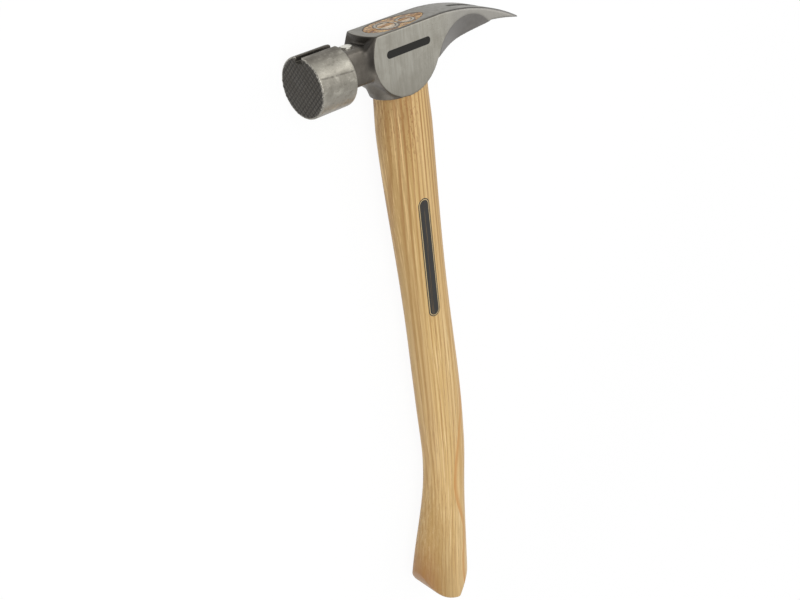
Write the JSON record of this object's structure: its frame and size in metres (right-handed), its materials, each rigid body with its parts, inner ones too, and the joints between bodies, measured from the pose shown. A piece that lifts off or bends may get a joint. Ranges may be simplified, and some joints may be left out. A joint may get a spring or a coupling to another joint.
{
  "type": "framing hammer",
  "caption": "Curved-handle framing hammer: light cast head with a milled waffle face, magnetic nail starter on the poll and a slotted straight claw on a wooden handle.",
  "frame": {"origin": "centre of the bounding box's underside, with the hammer lying on its side", "axes": "+X runs along the handle towards the top of the head; +Y is the way the striking face points; +Z is square to the upper cheek"},
  "size_m": [0.45, 0.1666, 0.035],
  "materials": {
    "head": "satin titanium: cheeks and poll ground, neck and scoops as cast",
    "handle": "clear-coated hickory with straight grain",
    "wedge_wood": "sawn end grain, bare",
    "ring": "dull steel, ground flush",
    "magnet": "bright plated disc"
  },
  "bodies": {
    "root": {"head": "head", "handle": "handle", "kerf_wedge": "wedge_wood", "front_ring_wedge": "ring", "rear_ring_wedge": "ring", "nail_magnet": "magnet"}
  },
  "joints": []
}
